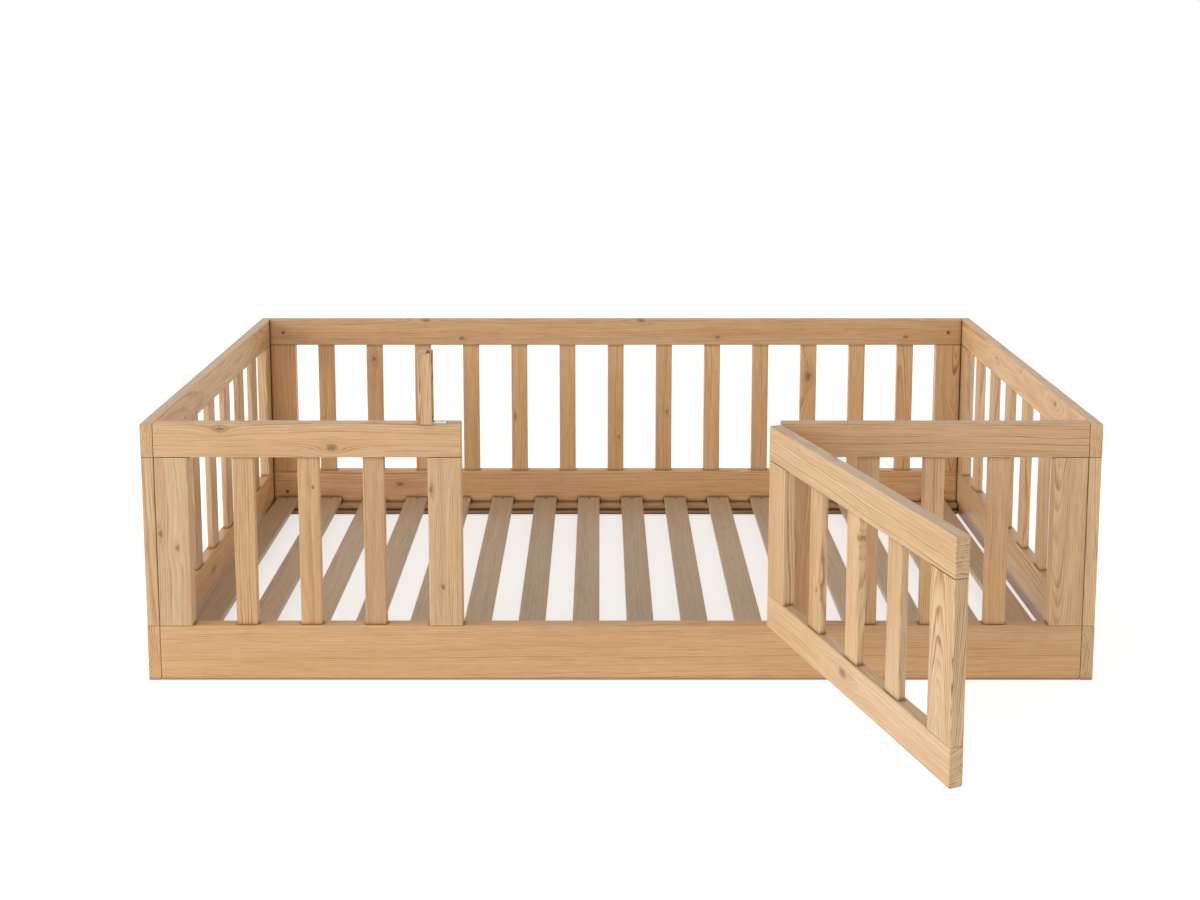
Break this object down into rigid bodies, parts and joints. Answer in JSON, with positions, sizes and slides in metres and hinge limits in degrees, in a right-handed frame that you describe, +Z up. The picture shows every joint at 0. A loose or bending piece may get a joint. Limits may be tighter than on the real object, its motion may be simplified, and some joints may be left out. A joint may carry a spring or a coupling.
{
  "type": "toddler floor bed",
  "caption": "Low slatted pine floor bed for a child, fenced all round, with a swinging front gate and a fold-down wooden latch bar.",
  "frame": {"origin": "on the floor, under the middle of the front bottom rail", "axes": "+X along the bed's length, to the right seen from the front; +Y from the front to the back; +Z up"},
  "size_m": [1.984, 1.6556, 0.7021],
  "materials": {
    "pine": "sanded natural pine",
    "pine_base": "plain sawn pine",
    "beech_dowel": "turned",
    "zinc_plated_steel": "bright zinc plate",
    "zinc_plated_bolt": "zinc plate"
  },
  "bodies": {
    "bed_frame": {"back_bottom_rail": "pine", "back_fence_slats": "pine", "back_left_stile": "pine", "back_right_stile": "pine", "back_slat_ledger": "pine", "back_top_rail": "pine", "barrel_nuts": "zinc_plated_bolt", "bed_slat_01": "pine_base", "bed_slat_02": "pine_base", "bed_slat_03": "pine_base", "bed_slat_04": "pine_base", "bed_slat_05": "pine_base", "bed_slat_06": "pine_base", "bed_slat_07": "pine_base", "bed_slat_08": "pine_base", "bed_slat_09": "pine_base", "bed_slat_10": "pine_base", "bed_slat_11": "pine_base", "bed_slat_12": "pine_base", "bed_slat_13": "pine_base", "bed_slat_14": "pine_base", "bed_slat_15": "pine_base", "bed_slat_16": "pine_base", "corner_bolts": "zinc_plated_bolt", "frame_dowels": "beech_dowel", "frame_screws": "zinc_plated_steel", "front_bottom_rail": "pine", "front_left_fence_slats": "pine", "front_left_inner_stile": "pine", "front_left_outer_stile": "pine", "front_left_top_rail": "pine", "front_right_fence_slats": "pine", "front_right_inner_stile": "pine", "front_right_outer_stile": "pine", "front_right_top_rail": "pine", "front_slat_ledger": "pine", "gate_hinge_frame_leaves": "zinc_plated_steel", "hinge_pins": "zinc_plated_steel", "latch_hinge_rail_leaf": "zinc_plated_steel", "left_bottom_rail": "pine", "left_fence_slats": "pine", "left_front_stile": "pine", "left_rear_stile": "pine", "left_top_rail": "pine", "right_bottom_rail": "pine", "right_fence_slats": "pine", "right_front_stile": "pine", "right_rear_stile": "pine", "right_top_rail": "pine"},
    "gate": {"gate_bottom_rail": "pine", "gate_dowels": "beech_dowel", "gate_fence_slats": "pine", "gate_free_stile": "pine", "gate_hinge_gate_leaves": "zinc_plated_steel", "gate_hinge_screws": "zinc_plated_steel", "gate_hinge_stile": "pine", "gate_top_rail": "pine"},
    "latch": {"latch_bar": "pine", "latch_hinge_bar_leaf": "zinc_plated_steel", "latch_hinge_screws": "zinc_plated_steel"}
  },
  "joints": [
    {"name": "gate_hinge", "type": "hinge", "parent": "bed_frame", "child": "gate", "pos_m": [0.329, -0.015, 0.3395], "axis": [0, 0, 1], "range_deg": [-110, 65]},
    {"name": "latch_hinge", "type": "hinge", "parent": "bed_frame", "child": "latch", "pos_m": [-0.3985, 0, 0.5566], "axis": [0, 1, 0], "range_deg": [0, 90]}
  ]
}
